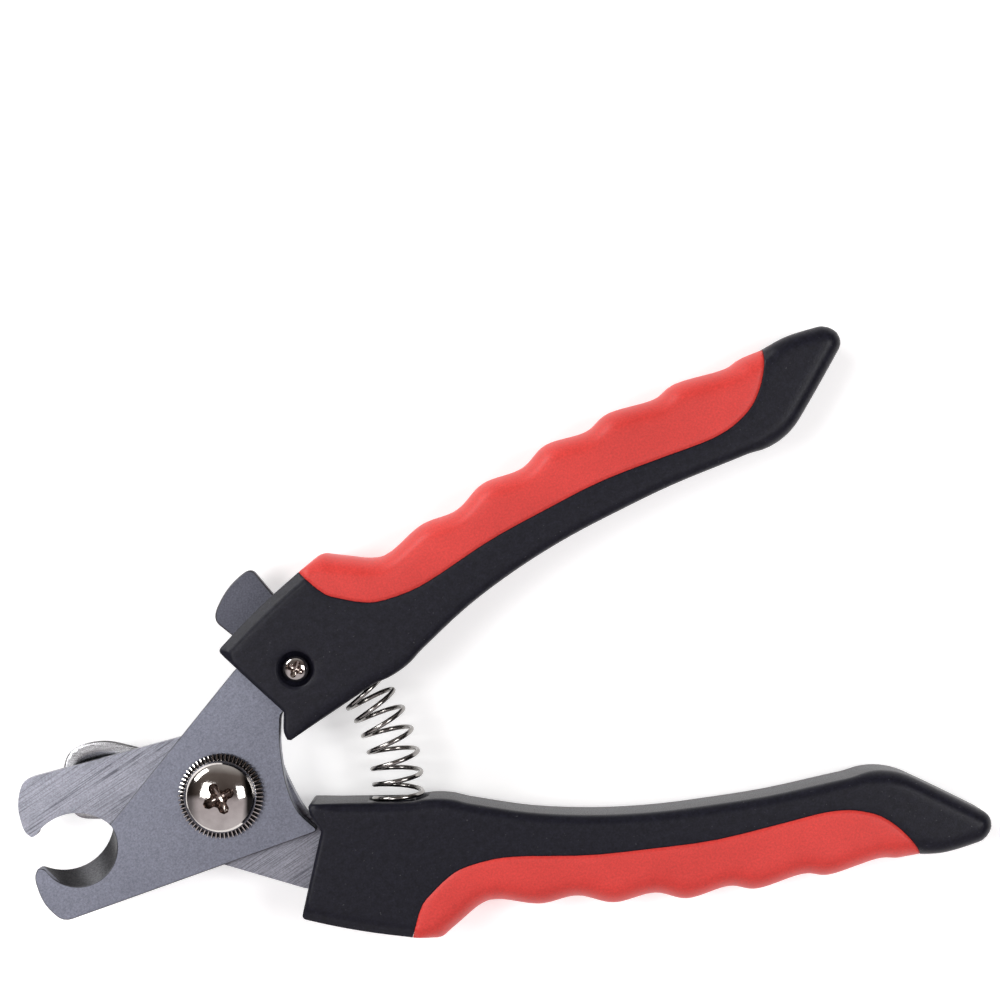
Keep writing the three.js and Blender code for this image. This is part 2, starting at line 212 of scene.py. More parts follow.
def distances(points, loop, closed=True):
    """Distance of each point to each segment of a line: an array of points by segments."""
    a = loop if closed else loop[:-1]
    b = np.roll(loop, -1, 0) if closed else loop[1:]
    ab = b - a
    ap = points[:, None, :] - a[None]
    t = np.clip((ap * ab).sum(2) / np.maximum((ab * ab).sum(1), 1e-12), 0, 1)
    return np.linalg.norm(ap - t[..., None] * ab, axis=2)


def edge_distance(points, loops):
    return np.min([distances(points, loop).min(1) for loop in loops], axis=0)


def inside(points, loops):
    """Whether each point lies in the region that the loops bound."""
    crossings = np.zeros(len(points), int)
    for loop in loops:
        a, b = loop, np.roll(loop, -1, 0)
        spans = (a[None, :, 1] > points[:, None, 1]) != (b[None, :, 1] > points[:, None, 1])
        rise = np.where(b[:, 1] == a[:, 1], 1e-12, b[:, 1] - a[:, 1])
        x = a[:, 0] + (points[:, None, 1] - a[:, 1]) * (b[:, 0] - a[:, 0]) / rise
        crossings += (spans & (points[:, None, 0] < x)).sum(1)
    return crossings % 2 == 1


def moved_left(line, distance, closed=True):
    """The line's points moved to its left, into the region of a counterclockwise loop."""
    if closed:
        tangent = np.roll(line, -1, 0) - np.roll(line, 1, 0)
    else:
        tangent = np.gradient(line, axis=0)
    tangent /= np.maximum(np.linalg.norm(tangent, axis=1), 1e-9)[:, None]
    return line + distance * np.stack([-tangent[:, 1], tangent[:, 0]], 1)


def thinned(points, spacing):
    """Points of a line with those closer than a spacing to the last kept one left out."""
    kept = []
    for point in points:
        if not kept or np.linalg.norm(point - kept[-1]) > spacing:
            kept.append(point)
    return np.array(kept).reshape(-1, 2)


def plate(loops, top, bottom, rings, grid, rows=()):
    """A closed body between two height functions over the region that loops bound.

    The first loop is the outline and the others are holes. Points lie in rings beside the edges,
    where the surface is rounded, in any extra rows, and in a plain grid elsewhere.
    """
    loops = [loop if (signed_area(loop) > 0) == (i == 0) else loop[::-1]
             for i, loop in enumerate(loops)]
    boundary = np.concatenate(loops)
    inner = []
    for loop in loops:
        spacing = np.linalg.norm(np.roll(loop, -1, 0) - loop, axis=1).mean()
        for ring in rings:
            moved = moved_left(loop, ring)
            moved = moved[(edge_distance(moved, loops) > ring * 0.97) & inside(moved, loops)]
            inner.append(thinned(moved, spacing * 0.45))
    for row in rows:
        clear = (edge_distance(row, loops) > 0.15) & inside(row, loops)
        inner.append(row[clear])
    low, high = boundary.min(0), boundary.max(0)
    lattice = np.array([
        (x + (grid / 2 if r % 2 else 0), y)
        for r, y in enumerate(np.arange(low[1], high[1], grid * 0.87))
        for x in np.arange(low[0], high[0], grid)
    ])
    lattice = lattice[inside(lattice, loops)]
    lattice = lattice[edge_distance(lattice, loops) > max(rings, default=0) + grid * 0.4]
    for row in rows:
        lattice = lattice[distances(lattice, row, closed=False).min(1) > grid * 0.4]
    inner.append(lattice)
    points = np.concatenate([boundary, *inner])
    edges, start = [], 0
    for loop in loops:
        ring = list(range(start, start + len(loop)))
        edges += list(zip(ring, ring[1:] + ring[:1]))
        start += len(loop)
    made = delaunay_2d_cdt([Vector(p) for p in points], edges, [], 0, 1e-6)
    plane = np.array([(v.x, v.y) for v in made[0]])
    triangles = np.array(made[2])
    triangles = triangles[inside(plane[triangles].mean(1), loops)]
    index = {source: i for i, sources in enumerate(made[3]) for source in sources}
    upper, under = top(plane), bottom(plane)
    bm = bmesh.new()
    used = np.unique(triangles)
    high_verts = {i: bm.verts.new((*plane[i], upper[i])) for i in used}
    low_verts = {i: bm.verts.new((*plane[i], under[i])) for i in used}
    for a, b, c in triangles:
        bm.faces.new((high_verts[a], high_verts[b], high_verts[c]))
        bm.faces.new((low_verts[c], low_verts[b], low_verts[a]))
    for a, b in edges:
        a, b = index[a], index[b]
        if a != b:
            bm.faces.new((low_verts[a], low_verts[b], high_verts[b], high_verts[a]))
    bmesh.ops.recalc_face_normals(bm, faces=bm.faces)
    return bm


def turned(profile, segments):
    """A body of revolution about z from [radius, height] points that start and end on the axis."""
    bm = bmesh.new()
    rings = []
    for radius, height in profile:
        if radius < 1e-9:
            rings.append([bm.verts.new((0, 0, height))] * segments)
        else:
            rings.append([
                bm.verts.new((radius * math.cos(a), radius * math.sin(a), height))
                for a in (2 * math.pi * k / segments for k in range(segments))
            ])
    for low, high in zip(rings, rings[1:]):
        for k in range(segments):
            corners = [low[k], low[(k + 1) % segments], high[(k + 1) % segments], high[k]]
            bm.faces.new(list(dict.fromkeys(corners)))
    bmesh.ops.recalc_face_normals(bm, faces=bm.faces)
    return bm


def rounded_edges(bm, width, segments=2, angle=40, skip=None):
    """Joins flat facets and rounds the edges sharper than an angle, in the second material, which on
    the blades and the latch is a painted shade.
    """
    bmesh.ops.dissolve_limit(
        bm, angle_limit=math.radians(0.4), use_dissolve_boundaries=False,
        verts=bm.verts, edges=bm.edges)
    sharp = [e for e in bm.edges if len(e.link_faces) == 2
             and e.calc_face_angle(0) > math.radians(angle) and not (skip and skip(e))]
    bmesh.ops.bevel(
        bm, geom=sharp, offset=width, offset_type="OFFSET", segments=segments, profile=0.5,
        affect="EDGES", clamp_overlap=False, material=1)
    return bm


# ---- materials -------------------------------------------------------------------------------

def set_stops(ramp, stops):
    """Fills a colour ramp; a stop is (position, colour or grey)."""
    while len(ramp.elements) < len(stops):
        ramp.elements.new(0.5)
    for element, (position, colour) in zip(ramp.elements, stops):
        grey = not hasattr(colour, "__len__")
        element.position = position
        element.color = (colour,) * 3 + (1,) if grey else (*colour, 1)


class Nodes:
    """A material's node tree with short ways to add the nodes used here."""

    def __init__(self, name):
        self.material = bpy.data.materials.new(name)
        self.material.use_nodes = True
        self.tree = self.material.node_tree
        self.shader = self.tree.nodes["Principled BSDF"]
        self.place = self.tree.nodes.new("ShaderNodeTexCoord").outputs["Object"]

    def link(self, output, target):
        self.tree.links.new(output, target)

    def set(self, **values):
        for name, value in values.items():
            self.shader.inputs[name.replace("_", " ")].default_value = value

    def mapped(self, scale, turn=0.0):
        """Object coordinates turned about z and then stretched."""
        turned_node = self.tree.nodes.new("ShaderNodeMapping")
        turned_node.inputs["Rotation"].default_value = (0, 0, -turn)
        self.link(self.place, turned_node.inputs["Vector"])
        stretch = self.tree.nodes.new("ShaderNodeMapping")
        stretch.inputs["Scale"].default_value = scale
        self.link(turned_node.outputs["Vector"], stretch.inputs["Vector"])
        return stretch.outputs["Vector"]

    def noise(self, vector, scale=1.0, detail=4.0, roughness=0.55):
        node = self.tree.nodes.new("ShaderNodeTexNoise")
        node.inputs["Scale"].default_value = scale
        node.inputs["Detail"].default_value = detail
        node.inputs["Roughness"].default_value = roughness
        self.link(vector, node.inputs["Vector"])
        return node.outputs["Fac"]

    def ramp(self, value, stops):
        """Colours along a value, from a list of stops."""
        node = self.tree.nodes.new("ShaderNodeValToRGB")
        set_stops(node.color_ramp, stops)
        self.link(value, node.inputs["Fac"])
        return node.outputs["Color"]

    def mix(self, first, second, factor, blend="MIX"):
        node = self.tree.nodes.new("ShaderNodeMix")
        node.data_type = "RGBA"
        node.blend_type = blend
        for socket, value in ((6, first), (7, second), (0, factor)):
            if hasattr(value, "is_linked"):
                self.link(value, node.inputs[socket])
            else:
                node.inputs[socket].default_value = value
        return node.outputs[2]

    def bump(self, height, strength, depth, normal=None):
        node = self.tree.nodes.new("ShaderNodeBump")
        node.inputs["Strength"].default_value = strength
        node.inputs["Distance"].default_value = depth
        self.link(height, node.inputs["Height"])
        if normal is not None:
            self.link(normal, node.inputs["Normal"])
        return node.outputs["Normal"]


def ground_steel(name, direction, light, dark, line_width, line_length, depth,
                 roughness=(0.3, 0.46), scratches=None):
    """Steel with straight grinding lines along a direction, faint larger stains and fine grain.

    Scratches, given by their spacing, are deeper dark lines in the same direction.
    """
    n = Nodes(name)
    n.set(Metallic=1.0)
    along, across = 1 / line_length, 1 / line_width
    lines = n.noise(n.mapped((along, across, across), direction), 1.0, 3.0, 0.6)
    fine = n.noise(n.mapped((0.5 * along, 3.1 * across, 3.1 * across), direction), 1.0, 2.0)
    stains = n.noise(n.place, 160.0, 3.0)
    tones = [(0.3, dark), (0.7, light)]
    tone = n.mix(n.ramp(lines, tones), n.ramp(stains, tones), 0.35)
    grain = n.noise(n.place, 3400.0, 3.0, 0.6)
    tone = n.mix(tone, n.ramp(grain, [(0.3, 0.72), (0.7, 1.26)]), 0.8, "MULTIPLY")
    if scratches:
        deep = n.noise(n.mapped((24.0, 1 / scratches, 1 / scratches), direction), 1.0, 0.0, 0.4)
        broken = n.noise(n.place, 300.0, 2.0)
        line = n.ramp(deep, [(0.40, 0.0), (0.435, 1.0), (0.455, 1.0), (0.49, 0.0)])
        shown = n.mix((0, 0, 0, 1), line, n.ramp(broken, [(0.42, 0.3), (0.6, 0.85)]))
        tone = n.mix(tone, (dark[0] * 0.45, dark[1] * 0.45, dark[2] * 0.47, 1), shown)
    n.link(tone, n.shader.inputs["Base Color"])
    n.link(n.ramp(fine, [(0.3, roughness[0]), (0.7, roughness[1])]), n.shader.inputs["Roughness"])
    rough = n.bump(lines, 0.5, depth)
    n.link(n.bump(fine, 0.35, depth * 0.5, rough), n.shader.inputs["Normal"])
    return n.material


def bright_nickel(name, light=(0.64, 0.61, 0.585), dark=(0.53, 0.5, 0.48), roughness=(0.06, 0.12)):
    """Nickel plate: polished, faintly uneven, with small dull marks."""
    n = Nodes(name)
    n.set(Metallic=1.0)
    waves = n.noise(n.place, 380.0, 2.0)
    marks = n.noise(n.place, 2600.0, 5.0, 0.7)
    n.link(n.ramp(waves, [(0.35, dark), (0.65, light)]), n.shader.inputs["Base Color"])
    n.link(n.ramp(marks, [(0.35, roughness[0]), (0.75, roughness[1])]), n.shader.inputs["Roughness"])
    n.link(n.bump(waves, 0.15, 0.00004), n.shader.inputs["Normal"])
    return n.material


def moulded_black(name):
    """Hard black plastic with the fine even grain of a spark-eroded mould and a few pale specks."""
    n = Nodes(name)
    n.set(Specular_IOR_Level=0.18, Roughness=0.5)
    grain = n.noise(n.place, 5200.0, 4.0, 0.65)
    coarse = n.noise(n.place, 900.0, 3.0, 0.5)
    specks = n.noise(n.place, 2300.0, 1.0, 0.4)
    base = n.ramp(coarse, [(0.3, (0.0055, 0.0055, 0.010)), (0.7, (0.0095, 0.0095, 0.0165))])
    speck = n.ramp(specks, [(0.735, 0.0), (0.8, 1.0)])
    pebbles = n.ramp(n.noise(n.place, 2800.0, 3.0, 0.6), [(0.3, 0.55), (0.7, 1.5)])
    pebbled = n.mix(base, pebbles, 0.8, "MULTIPLY")
    n.link(n.mix(pebbled, (0.04, 0.04, 0.046, 1), speck), n.shader.inputs["Base Color"])
    n.link(n.ramp(grain, [(0.3, 0.31), (0.7, 0.46)]), n.shader.inputs["Roughness"])
    skin = n.bump(grain, 0.45, 0.00005)
    n.link(n.bump(coarse, 0.2, 0.00006, skin), n.shader.inputs["Normal"])
    return n.material


def soft_red(name):
    """Soft red grip: satin, very slightly cloudy, with a fine matt skin."""
    n = Nodes(name)
    n.set(Specular_IOR_Level=0.4, Subsurface_Weight=0.06, Sheen_Weight=0.05)
    n.shader.inputs["Subsurface Radius"].default_value = (0.0012, 0.0003, 0.0002)
    cloud = n.noise(n.place, 70.0, 3.0)
    grain = n.noise(n.place, 3000.0, 3.0, 0.6)
    base = n.ramp(cloud, [(0.3, (0.555, 0.031, 0.024)), (0.7, (0.655, 0.042, 0.033))])
    mottled = n.mix(base, n.ramp(grain, [(0.3, 0.8), (0.7, 1.17)]), 0.8, "MULTIPLY")
    n.link(mottled, n.shader.inputs["Base Color"])
    n.link(n.ramp(grain, [(0.3, 0.42), (0.7, 0.56)]), n.shader.inputs["Roughness"])
    n.link(n.bump(grain, 0.25, 0.00003), n.shader.inputs["Normal"])
    return n.material


def pale_nylon(name):
    """The nut's plastic ring: pale, faintly cloudy and a little translucent."""
    n = Nodes(name)
    n.set(Subsurface_Weight=0.2, Roughness=0.45)
    cloud = n.noise(n.place, 600.0, 3.0)
    base = n.ramp(cloud, [(0.3, (0.72, 0.7, 0.62)), (0.7, (0.82, 0.8, 0.73))])
    n.link(base, n.shader.inputs["Base Color"])
    n.link(n.bump(cloud, 0.2, 0.00003), n.shader.inputs["Normal"])
    return n.material


FRONT_STEEL = ground_steel(
    "front_blade_steel", HALF_OPENING, (0.197, 0.206, 0.25), (0.157, 0.165, 0.203),
    0.00013, 0.0013, 0.000008, (0.32, 0.46))
REAR_STEEL = ground_steel(
    "rear_blade_steel", HALF_OPENING - math.radians(3), (0.31, 0.315, 0.36), (0.175, 0.18, 0.21),
    0.00028, 0.009, 0.00003, (0.3, 0.46), scratches=0.0006)
# The notch's ground bevel: real grinding lines, in a much darker tone that paints the shade on its
# slanting wall.
NOTCH_SHADE_STEEL = ground_steel(
    "notch_bevel_painted_shade_steel", 0.0, (0.075, 0.075, 0.079), (0.036, 0.036, 0.039),
    0.0002, 0.0006, 0.00001)
# Painted shade: the blades' and latch's rounded edges are coloured dark to stand in for the dark line
# that light leaves along them.
EDGE_SHADE_STEEL = ground_steel(
    "edge_painted_shade_steel", 0.0, (0.1, 0.1, 0.11), (0.06, 0.06, 0.065),
    0.0002, 0.0006, 0.00001, (0.4, 0.55))
LATCH_STEEL = ground_steel(
    "latch_steel", math.radians(70), (0.1, 0.103, 0.126), (0.07, 0.072, 0.09),
    0.0002, 0.0012, 0.00001)
GUARD_STEEL = ground_steel(
    "guard_steel", math.radians(160), (0.34, 0.34, 0.35), (0.26, 0.26, 0.27),
    0.0002, 0.003, 0.000006, (0.2, 0.34))
NICKEL = bright_nickel("bright_nickel")
SPRING_WIRE = bright_nickel("spring_wire", (0.42, 0.4, 0.38), (0.26, 0.25, 0.24), (0.12, 0.22))
# Painted shade for the inside of the cross recesses: the same nickel, darker and browner.
RECESS_SHADE_NICKEL = bright_nickel("recess_painted_shade_nickel", (0.42, 0.36, 0.33), (0.2, 0.16, 0.145), (0.12, 0.24))
# Near black: painted shade for the hollows of the washer's teeth and its outer wall.
TOOTH_SHADE_BLACK = bright_nickel("tooth_painted_shade_black", (0.035, 0.033, 0.035), (0.02, 0.019, 0.02), (0.35, 0.5))
BLACK = moulded_black("moulded_black")
RED = soft_red("soft_red_grip")
NYLON = pale_nylon("nut_nylon")


# ---- handles ---------------------------------------------------------------------------------

def runs(loop, chosen):
    """The one unbroken stretch of a closed loop whose points are chosen."""
    start = next(i for i in range(len(loop)) if chosen[i] and not chosen[i - 1])
    return np.array([loop[(start + k) % len(loop)] for k in range(int(chosen.sum()))])


def handle_lines(half):
    """The handle's silhouette with each point's owner, and the seam's edge on core and grip."""
    back = half_matrix(half).inverted()
    core = face_loops(cad_bmesh(f"{half}_handle_core", back), HANDLE_HALF)[0]
    grip = face_loops(cad_bmesh(f"{half}_handle_grip", back), HANDLE_HALF)[0]
    near = 0.45
    core_seam = distances(core, grip).min(1) < near
    grip_seam = distances(grip, core).min(1) < near
    outline = np.concatenate([runs(grip, ~grip_seam), runs(core, ~core_seam)])
    return outline, runs(grip, ~grip_seam), runs(core, core_seam), runs(grip, grip_seam)


def edge_rounding(outline, grip_edge):
    """How far the rounding reaches in and down, and the chamfer in, along the silhouette."""
    x, y = outline[:, 0], outline[:, 1]
    on_grip = distances(outline, grip_edge, closed=False).min(1) < 0.2
    reach = np.full(len(outline), 1.7)
    reach[x > 104] = 2.4
    shoulder = (x < 33) & (y > 18)
    reach[shoulder] = 0.7
    reach[x < 17.5] = 0.7
    drop = reach * 1.05
    reach[on_grip] = 3.3
    drop[on_grip] = 4.8
    kernel = np.hanning(11)
    kernel /= kernel.sum()

    def eased(values):
        padded = np.concatenate([values[-5:], values, values[:5]])
        return np.convolve(padded, kernel, "valid")

    return eased(reach), eased(drop), eased(np.where(shoulder, 1.8, 0.0))


def roundover(distance, reach, drop):
    """How far an elliptical edge rounding lies below the face at a distance from the edge."""
    share = np.clip(1 - distance / reach, 0, 1)
    return drop * (1 - np.sqrt(1 - share**2))


def kept_within(smooth, faceted):
    """The smooth loop moved inwards, by an amount that changes slowly, to stay in the faceted one."""
    away = edge_distance(smooth, [faceted])
    excess = np.maximum(np.where(inside(smooth, [faceted]), -away, away) + 0.05, 0)
    reach = 9
    widest = np.max([np.roll(excess, k) for k in range(-reach, reach + 1)], axis=0)
    weights = np.hanning(2 * reach + 1)
    eased = sum(w * np.roll(widest, k) for w, k in zip(weights, range(-reach, reach + 1)))
    return moved_left(smooth, (eased / weights.sum())[:, None])


def close_gap(mesh, wall, facing):
    """Moves a wall's points most of the way to the wall they face, to leave only a hairline."""
    points = np.array([v.co.xy[:] for v in mesh.vertices])
    on_wall = np.flatnonzero(distances(points, wall, closed=False).min(1) < 0.02)
    dense = resampled_line(facing, 0.1)
    for i in on_wall:
        gaps = dense - points[i]
        nearest = gaps[np.argmin((gaps**2).sum(1))]
        if np.linalg.norm(nearest) < 0.5:
            mesh.vertices[i].co.xy += Vector(nearest * 0.85)


def handle_piece(half, part, face, seam_round, material):
    """A handle's core or grip: its CAD solid inside a smooth shell with rounded edges."""
    outline, grip_edge, core_seam, grip_seam = handle_lines(half)
    seam = core_seam if part == "core" else grip_seam
    outline = kept_within(resampled(outline, 0.6), outline)
    reach, drop, chamfer = edge_rounding(outline, grip_edge)
    rows = [moved_left(resampled_line(seam, 0.5), offset, closed=False)
            for offset in (-seam_round, -0.12, -0.03, 0.03, 0.12, seam_round)]

    def height(points, front=True):
        """The face less the edges' rounding; the front has the latch screw's recess as well."""
        low = np.zeros(len(points))
        for start in range(0, len(points), 2000):
            some = points[start:start + 2000]
            away = distances(some, outline)
            falls = np.maximum(roundover(away, reach, drop), CHAMFER_SLOPE * (chamfer - away))
            low[start:start + 2000] = falls.max(1)
        low += roundover(distances(points, seam, closed=False).min(1), seam_round, seam_round)
        if front and half == "upper" and part == "core":
            rim = np.linalg.norm(points - np.array(LATCH_PIVOT), axis=1) - SCREW_RECESS
            low += np.where(rim > 0, roundover(np.abs(rim), 0.35, 0.35), 0)
        return face - low

    if half == "upper" and part == "core":
        turn = np.linspace(0, 2 * math.pi, 72)
        circle = np.stack([np.cos(turn), np.sin(turn)], 1)
        rows += [np.array(LATCH_PIVOT) + (SCREW_RECESS + r) * circle for r in (0.02, 0.1, 0.22, 0.36)]
    body = plate([outline], height, lambda points: -height(points, front=False),
                 EDGE_RINGS, 1.3, rows)
    envelope = new_object(f"{half}_{part}_shell", body)
    node = f"{half}_handle_{part}"
    piece = new_object(f"{node}_moulded", cad_bmesh(node, half_matrix(half).inverted()))
    boolean(piece, envelope, "INTERSECT")
    if part == "grip":
        close_gap(piece.data, grip_seam, core_seam)
    piece.data.transform(half_matrix(half))
    return finished(piece, node, [material], 38)


def resampled_line(line, step):
    """An open line with evenly stepped points."""
    along = np.concatenate([[0], np.cumsum(np.linalg.norm(np.diff(line, axis=0), axis=1))])
    steps = np.linspace(0, along[-1], max(2, round(along[-1] / step)))
    return np.stack([np.interp(steps, along, line[:, k]) for k in (0, 1)], 1)


# ---- blades, latch and guard -----------------------------------------------------------------

def round_hook_tip(bm):
    """Takes the square corner off the hook's tip, which the notch's slanting wall leaves there."""
    outline = [(-31.5, 9.2), (-31.35, 8.3), (-31.1, 8.3), (-30.85, 8.2), (-30.62, 8.02),
               (-30.4, 7.75), (-30.17, 7.42), (-29.6, 7.2), (-29.6, 9.2)]
    cutter = bmesh.new()
    low, high = ([cutter.verts.new((x, y, z)) for x, y in outline] for z in (-1, BLADE_THICKNESS + 1))
    cutter.faces.new(low)
    cutter.faces.new(high[::-1])
    for k in range(len(outline)):
        cutter.faces.new((low[k], low[k - 1], high[k - 1], high[k]))
    bmesh.ops.recalc_face_normals(cutter, faces=cutter.faces)
    cut = boolean(new_object("blade", bm), new_object("corner", cutter), "DIFFERENCE")
    result = bmesh.new()
    result.from_mesh(cut.data)
    bpy.data.objects.remove(cut)
    bmesh.ops.remove_doubles(result, verts=result.verts, dist=WELD)
    result.normal_update()
    return result


def blade(half, node, material):
    """The CAD blade with its facets joined, its outer edges broken and its shearing face sharp."""
    bm = round_hook_tip(cad_bmesh(node, half_matrix(half).inverted()))
    notch = Vector(NOTCH_CENTRE)

    def kept_sharp(edge):
        low = [v for v in edge.verts if v.co.z < 0.1]
        return len(low) == 2 or any((v.co.xy - notch).length < 10 for v in low)

    rounded_edges(bm, 0.14, 2, 40, kept_sharp)
    bmesh.ops.dissolve_degenerate(bm, dist=0.0002, edges=bm.edges)
    bm.normal_update()
    # The notch's slanting wall takes the third material: painted shade over its real grinding lines.
    for face in bm.faces:
        in_notch = (face.calc_center_median().xy - notch).length < 12
        slanting = 0.2 < abs(face.normal.z) < 0.97
        if in_notch and slanting and face.material_index == 0:
            face.material_index = 2
    piece = new_object(f"{node}_ground", bm, half_matrix(half))
    # The rounded edges take the second material, a painted shade.
    return finished(piece, node, [material, EDGE_SHADE_STEEL, NOTCH_SHADE_STEEL], 30, flat_faces=True)


def latch_lever():
    """The stamped latch, with its edges broken."""
    bm = cad_bmesh("latch_lever")
    rounded_edges(bm, 0.25, 3)
    piece = new_object("latch_lever_stamped", bm)
    # The broken edges take the second material, a painted shade.
    return finished(piece, "latch_lever", [LATCH_STEEL, EDGE_SHADE_STEEL], 30, flat_faces=True)


def nail_guard():
    """A pressed plate: its paddle is pushed out towards the back by the pressing's depth."""
    solid = cad_bmesh("nail_guard")
    low, high = (value.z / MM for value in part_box("nail_guard"))
    thickness = 0.8
    pressing = high - thickness - low
    outline, hole = (resampled(loop, 0.5) for loop in face_loops(solid, high)[:2])
    boss = resampled(face_loops(solid, low, upward=False)[0], 0.5)

    def pressed(points):
        depth = np.where(inside(points, [boss]), distances(points, boss).min(1), 0)
        return pressing * np.sin(np.clip(depth / 1.6, 0, 1) * math.pi / 2) ** 2

    def edge(points):
        return roundover(edge_distance(points, [outline, hole]), 0.25, 0.25)

    body = plate([outline, hole], lambda p: high - edge(p) - pressed(p),
                 lambda p: high - thickness + edge(p) - pressed(p),
                 (0.03, 0.1, 0.25), 0.45)
    return finished(new_object("nail_guard_pressed", body), "nail_guard", [GUARD_STEEL], 40)


# ---- fasteners -------------------------------------------------------------------------------

def cross_cutter(length, width, depth, top, turn):
    """A tapered cross recess with round-ended arms about the axis, as a solid to cut with."""
    half = width / 2
    tip = length / 2
    arm_corners = (
        (half * 1.5, -half), (tip - half * 0.7, -half), (tip, -half * 0.45),
        (tip, half * 0.45), (tip - half * 0.7, half), (half * 1.5, half))
    outline = []
    for arm in range(4):
        angle = turn + arm * math.pi / 2
        ahead = np.array([math.cos(angle), math.sin(angle)])
        left = np.array([-ahead[1], ahead[0]])
        for reach, side in arm_corners:
            outline.append(ahead * reach + left * side)
    bm = bmesh.new()
    levels = (
        (top + 0.2, 1.04), (top - depth * 0.55, 0.9), (top - depth * 0.8, 0.66), (top - depth, 0.3))
    rings = [[bm.verts.new((x * scale, y * scale, z)) for x, y in outline] for z, scale in levels]
    for high, low in zip(rings, rings[1:]):
        for k in range(len(outline)):
            j = (k + 1) % len(outline)
            bm.faces.new((high[k], high[j], low[j], low[k]))
    bm.faces.new(rings[0])
    bm.faces.new(rings[-1][::-1])
    bmesh.ops.recalc_face_normals(bm, faces=bm.faces)
    return new_object("cross_cutter", bm)


def dome(radius, low, rim, top, steps):
    """Profile points of a rounded rim and a dome that meets it."""
    points = [(radius - 0.12, low), (radius, low + 0.12), (radius, low + rim * 0.75)]
    rise = top - low - rim
    for k in range(1, steps):
        angle = k / steps * math.pi / 2
        points.append((radius * math.cos(angle) ** 0.85, low + rim + rise * math.sin(angle)))
    return points + [(0, top)]


def paint_recess_shade(mesh, radius, profile):
    """Gives the second material, a painted shade, to faces near the axis that lie below the head's
    dome: the recess.
    """
    head = [(r, z) for r, z in profile if z > profile[-1][1] * 0.6][::-1]
    for polygon in mesh.polygons:
        r = polygon.center.xy.length
        surface = float(np.interp(r, [p[0] for p in head], [p[1] for p in head]))
        below = surface - polygon.center.z
        polygon.material_index = int(r < radius and 0.06 < below < 3)


def pivot_bolt():
    """The domed bolt, with ring grooves below that read as its thread."""
    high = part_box("pivot_bolt")[1]
    washer_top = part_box("knurled_washer")[1].z / MM
    top = high.z / MM
    radius = high.x / MM
    shank = 3.0
    thread = []
    pitch = 1.0
    for k in range(7):
        base = 0.5 + k * pitch * 0.98
        thread += [(shank, base), (shank - 0.3, base + pitch * 0.45), (shank, base + pitch * 0.9)]
    profile = [(0, 0), (2.4, 0), (2.65, 0.15), *thread, (shank, 8.2), (shank, washer_top + 0.1),
               *dome(radius, washer_top + 0.1, 0.7, top, 24)]
    piece = new_object("pivot_bolt_turned", turned(profile, 96))
    boolean(piece, cross_cutter(5.3, 1.62, 2.3, top, math.radians(10)), "DIFFERENCE")
    paint_recess_shade(piece.data, 3.2, profile)
    return finished(piece, "pivot_bolt", [NICKEL, RECESS_SHADE_NICKEL], 28)


def latch_screw():
    """A pan-head screw with ring grooves that read as its thread."""
    low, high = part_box("latch_screw")
    centre = (low + high) / 2 / MM
    bottom, top = low.z / MM, high.z / MM
    radius = (high.x - low.x) / 2 / MM
    head_low = top - 1.45
    root, crest = 1.05, 1.4
    thread = []
    for k in range(6):
        base = bottom + 0.9 + k * 0.9
        thread += [(root, base), (crest, base + 0.4), (root, base + 0.8)]
    profile = [(0, bottom), (0.6, bottom + 0.3), *thread, (1.2, head_low),
               *dome(radius, head_low, 0.5, top, 10)]
    piece = new_object("latch_screw_turned", turned(profile, 64))
    boolean(piece, cross_cutter(3.0, 0.95, 1.1, top, math.radians(52)), "DIFFERENCE")
    paint_recess_shade(piece.data, 1.8, profile)
    piece.data.transform(Matrix.Translation((centre.x, centre.y, 0)))
    return finished(piece, "latch_screw", [NICKEL, RECESS_SHADE_NICKEL], 28)


def knurled_washer():
    """A ring whose outer band is cut into radial teeth that slope down to the rim."""
    low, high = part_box("knurled_washer")
    bottom, top = low.z / MM, high.z / MM
    outer, inner, band = high.x / MM, 3.08, 5.7
    teeth, per_tooth = 60, 8
    count = teeth * per_tooth
    radii = [inner, 4.2, band - 0.1, band, band + 0.15, 6.1, 6.5, outer - 0.15, outer]
    bm = bmesh.new()
    rings = []
    for r in radii:
        ring = []
        for k in range(count):
            phase = (k % per_tooth) / per_tooth
            ridge = 0.5 + 0.5 * math.tanh(4 * math.cos(2 * math.pi * phase)) / math.tanh(4)
            share = min(1, max(0, (r - band) / 0.25))
            z = top - (0.5 * share * (1 - ridge) + 0.1 * max(0, (r - 6.4) / 0.5))
            radius = r - (0.28 * (1 - ridge) if r > outer - 0.2 else 0)
            angle = 2 * math.pi * k / count
            ring.append(bm.verts.new((radius * math.cos(angle), radius * math.sin(angle), z)))
        rings.append(ring)
    outer_foot = [bm.verts.new((v.co.x, v.co.y, bottom)) for v in rings[-1]]
    inner_foot = [bm.verts.new((v.co.x, v.co.y, bottom)) for v in rings[0]]
    rings = [inner_foot, *rings, outer_foot, inner_foot]
    for a, b in zip(rings, rings[1:]):
        for k in range(count):
            j = (k + 1) % count
            bm.faces.new((a[k], a[j], b[j], b[k]))
    bmesh.ops.recalc_face_normals(bm, faces=bm.faces)
    # Painted shade: the hollows between the teeth and the washer's outer wall are coloured near black.
    for face in bm.faces:
        middle = face.calc_center_median()
        if middle.xy.length > band - 0.12 and middle.z < top - 0.2:
            face.material_index = 1
    piece = new_object("knurled_washer_cut", bm)
    return finished(piece, "knurled_washer", [NICKEL, TOOTH_SHADE_BLACK], 30)


def lock_nut():
    bm = cad_bmesh("lock_nut")
    rounded_edges(bm, 0.16, 3, 25)
    return finished(new_object("lock_nut_forged", bm), "lock_nut", [NICKEL], 30, flat_faces=True)


def nut_insert():
    bm = cad_bmesh("nut_insert")
    rounded_edges(bm, 0.15, 2)
    return finished(new_object("nut_insert_moulded", bm), "nut_insert", [NYLON], 30, flat_faces=True)


# ---- spring ----------------------------------------------------------------------------------

